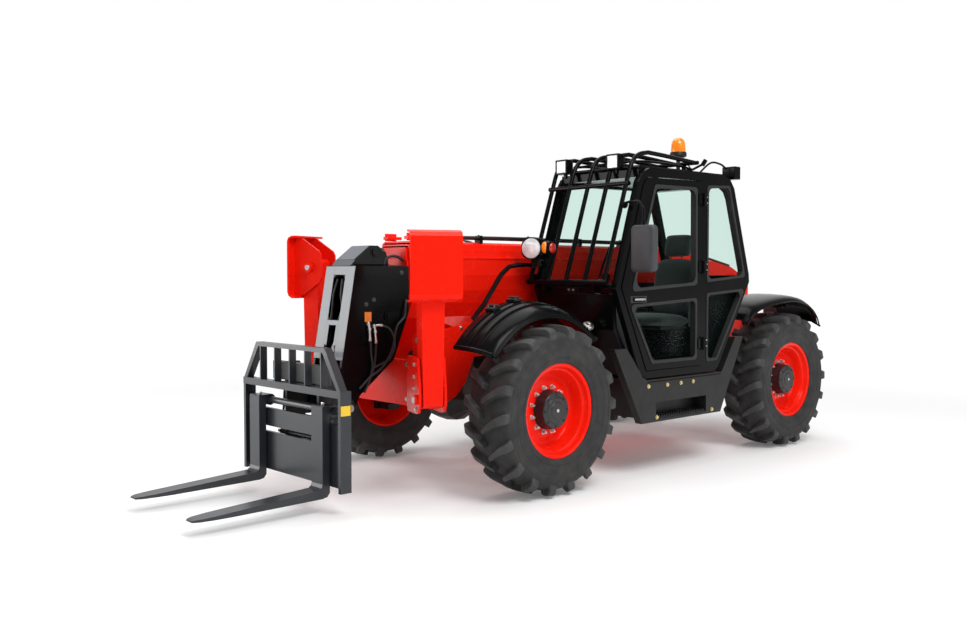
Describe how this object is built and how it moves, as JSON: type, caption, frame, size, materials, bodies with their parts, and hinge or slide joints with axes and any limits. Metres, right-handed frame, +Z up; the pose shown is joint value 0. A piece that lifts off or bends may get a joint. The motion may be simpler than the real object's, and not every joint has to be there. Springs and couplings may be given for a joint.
{
  "type": "telehandler",
  "caption": "Telescopic handler with a hydraulic boom, pallet-fork carriage, front stabilizer legs, glazed side cab with an opening door and four steered wheels.",
  "frame": {"origin": "centre of the underside of the bounding box, on the floor the tyres stand on", "axes": "+Z up, -Y towards the forks (front), +X towards the cab side (left of the machine)"},
  "size_m": [2.924, 6.12, 2.69],
  "materials": {
    "body_red": "gloss paint",
    "black_paint": "gloss black paint",
    "carriage_grey": "satin paint",
    "tyre": "matt rubber",
    "glass": "tinted clear",
    "chrome": "polished",
    "cast_iron": "rough",
    "black_plastic": "matt",
    "seat_fabric": "woven",
    "amber_lens": "clear amber"
  },
  "bodies": {
    "chassis": {"chassis_frame": "body_red", "front_bulkhead": "body_red", "engine_bay": "black_paint", "engine_block": "cast_iron", "counterweight": "black_paint", "front_axle": "black_paint", "rear_axle": "black_paint", "rear_left_fender": "black_paint", "rear_right_fender": "black_paint", "cab_frame": "black_paint", "cab_base": "black_paint", "cab_roof": "black_paint", "windshield": "glass", "rear_glass": "glass", "right_glass": "glass", "quarter_glass": "glass", "seat": "seat_fabric", "steering_console": "black_plastic", "windshield_guard": "black_paint", "beacon": "amber_lens", "headlamp_left": "black_paint", "headlamp_right": "black_paint", "mirror_left": "black_plastic", "mirror_right": "black_plastic", "step_panel": "black_paint"},
    "front_left_knuckle": {"front_left_knuckle": "black_paint", "front_left_fender": "black_paint"},
    "front_left_wheel": {"front_left_tyre": "tyre", "front_left_rim": "body_red"},
    "front_right_knuckle": {"front_right_knuckle": "black_paint", "front_right_fender": "black_paint"},
    "front_right_wheel": {"front_right_tyre": "tyre", "front_right_rim": "body_red"},
    "rear_left_knuckle": {"rear_left_knuckle": "black_paint"},
    "rear_left_wheel": {"rear_left_tyre": "tyre", "rear_left_rim": "body_red"},
    "rear_right_knuckle": {"rear_right_knuckle": "black_paint"},
    "rear_right_wheel": {"rear_right_tyre": "tyre", "rear_right_rim": "body_red"},
    "cab_door": {"door_frame": "black_paint", "door_glass": "glass"},
    "engine_hood": {"engine_hood": "body_red"},
    "boom": {"boom_outer": "body_red"},
    "boom_mid": {"boom_mid": "body_red"},
    "boom_inner": {"boom_inner": "body_red", "boom_nose": "black_paint"},
    "carriage": {"coupler": "black_paint", "fork_carriage": "carriage_grey"},
    "fork_left": {"fork_left": "carriage_grey"},
    "fork_right": {"fork_right": "carriage_grey"},
    "lift_barrel": {"lift_cylinder_barrel": "black_paint"},
    "lift_rod": {"lift_cylinder_rod": "chrome"},
    "tilt_barrel": {"tilt_cylinder_barrel": "black_paint"},
    "tilt_rod": {"tilt_cylinder_rod": "chrome"},
    "stabilizer_left": {"stabilizer_arm_left": "body_red"},
    "stabilizer_right": {"stabilizer_arm_right": "body_red"},
    "foot_left": {"stabilizer_foot_left": "body_red"},
    "foot_right": {"stabilizer_foot_right": "body_red"}
  },
  "joints": [
    {"name": "front_left_steer", "type": "hinge", "parent": "chassis", "child": "front_left_knuckle", "pos_m": [0.8, -0.7, 0.595], "axis": [0, 0, 1], "range_deg": [-32, 32]},
    {"name": "front_left_spin", "type": "hinge", "parent": "front_left_knuckle", "child": "front_left_wheel", "pos_m": [0.98, -0.7, 0.595], "axis": [1, 0, 0], "continuous": true},
    {"name": "front_right_steer", "type": "hinge", "parent": "chassis", "child": "front_right_knuckle", "pos_m": [-0.8, -0.7, 0.595], "axis": [0, 0, 1], "range_deg": [-32, 32]},
    {"name": "front_right_spin", "type": "hinge", "parent": "front_right_knuckle", "child": "front_right_wheel", "pos_m": [-0.98, -0.7, 0.595], "axis": [1, 0, 0], "continuous": true},
    {"name": "rear_left_steer", "type": "hinge", "parent": "chassis", "child": "rear_left_knuckle", "pos_m": [0.8, 2.3, 0.595], "axis": [0, 0, 1], "range_deg": [-32, 32]},
    {"name": "rear_left_spin", "type": "hinge", "parent": "rear_left_knuckle", "child": "rear_left_wheel", "pos_m": [0.98, 2.3, 0.595], "axis": [1, 0, 0], "continuous": true},
    {"name": "rear_right_steer", "type": "hinge", "parent": "chassis", "child": "rear_right_knuckle", "pos_m": [-0.8, 2.3, 0.595], "axis": [0, 0, 1], "range_deg": [-32, 32]},
    {"name": "rear_right_spin", "type": "hinge", "parent": "rear_right_knuckle", "child": "rear_right_wheel", "pos_m": [-0.98, 2.3, 0.595], "axis": [1, 0, 0], "continuous": true},
    {"name": "door_hinge", "type": "hinge", "parent": "chassis", "child": "cab_door", "pos_m": [1.14, 0.988, 1.5], "axis": [0, 0, 1], "range_deg": [0, 105]},
    {"name": "hood_hinge", "type": "hinge", "parent": "chassis", "child": "engine_hood", "pos_m": [-0.325, 0.8, 1.385], "axis": [0, 1, 0], "range_deg": [0, 60]},
    {"name": "boom_lift", "type": "hinge", "parent": "chassis", "child": "boom", "pos_m": [0, 2.85, 1.42], "axis": [-1, 0, 0], "range_deg": [0, 65]},
    {"name": "telescope_mid", "type": "slide", "parent": "boom", "child": "boom_mid", "axis": [0, -1, 0], "range_m": [0, 2.7]},
    {"name": "telescope_inner", "type": "slide", "parent": "boom_mid", "child": "boom_inner", "axis": [0, -1, 0], "range_m": [0, 2.7]},
    {"name": "carriage_tilt", "type": "hinge", "parent": "boom_inner", "child": "carriage", "pos_m": [0, -1.8, 0.62], "axis": [1, 0, 0], "range_deg": [-12, 100]},
    {"name": "fork_left_slide", "type": "slide", "parent": "carriage", "child": "fork_left", "axis": [1, 0, 0], "range_m": [-0.18, 0.1]},
    {"name": "fork_right_slide", "type": "slide", "parent": "carriage", "child": "fork_right", "axis": [-1, 0, 0], "range_m": [-0.18, 0.1]},
    {"name": "lift_barrel_swing", "type": "hinge", "parent": "chassis", "child": "lift_barrel", "pos_m": [0, 2.55, 0.88], "axis": [-1, 0, 0], "range_deg": [0, 61]},
    {"name": "lift_rod_slide", "type": "slide", "parent": "lift_barrel", "child": "lift_rod", "axis": [0, -0.9765, 0.2156], "range_m": [0, 0.67]},
    {"name": "tilt_barrel_swing", "type": "hinge", "parent": "boom_inner", "child": "tilt_barrel", "pos_m": [0, -1.475, 1.655], "axis": [1, 0, 0], "range_deg": [-1, 3]},
    {"name": "tilt_rod_slide", "type": "slide", "parent": "tilt_barrel", "child": "tilt_rod", "axis": [0, -0.4237, -0.9058], "range_m": [-0.04, 0.32]},
    {"name": "stabilizer_left_swing", "type": "hinge", "parent": "chassis", "child": "stabilizer_left", "pos_m": [0.69, -1.47, 0.7], "axis": [0.3746, 0.9272, 0], "range_deg": [0, 120]},
    {"name": "foot_left_swing", "type": "hinge", "parent": "stabilizer_left", "child": "foot_left", "pos_m": [0.69, -1.47, 1.585], "axis": [-0.3746, -0.9272, 0], "range_deg": [0, 35]},
    {"name": "stabilizer_right_swing", "type": "hinge", "parent": "chassis", "child": "stabilizer_right", "pos_m": [-0.69, -1.47, 0.7], "axis": [0.3746, -0.9272, 0], "range_deg": [0, 120]},
    {"name": "foot_right_swing", "type": "hinge", "parent": "stabilizer_right", "child": "foot_right", "pos_m": [-0.69, -1.47, 1.585], "axis": [-0.3746, 0.9272, 0], "range_deg": [0, 35]}
  ],
  "couplings": [
    {"joint": "front_right_steer", "follows": "front_left_steer", "ratio": 1},
    {"joint": "rear_right_steer", "follows": "rear_left_steer", "ratio": 1},
    {"joint": "telescope_inner", "follows": "telescope_mid", "ratio": 1},
    {"joint": "lift_barrel_swing", "follows": "boom_lift", "ratio": 0.9144},
    {"joint": "lift_rod_slide", "follows": "boom_lift", "m_per_rad": 0.5703},
    {"joint": "tilt_barrel_swing", "follows": "carriage_tilt", "ratio": 0.0185},
    {"joint": "tilt_rod_slide", "follows": "carriage_tilt", "m_per_rad": 0.1702}
  ]
}
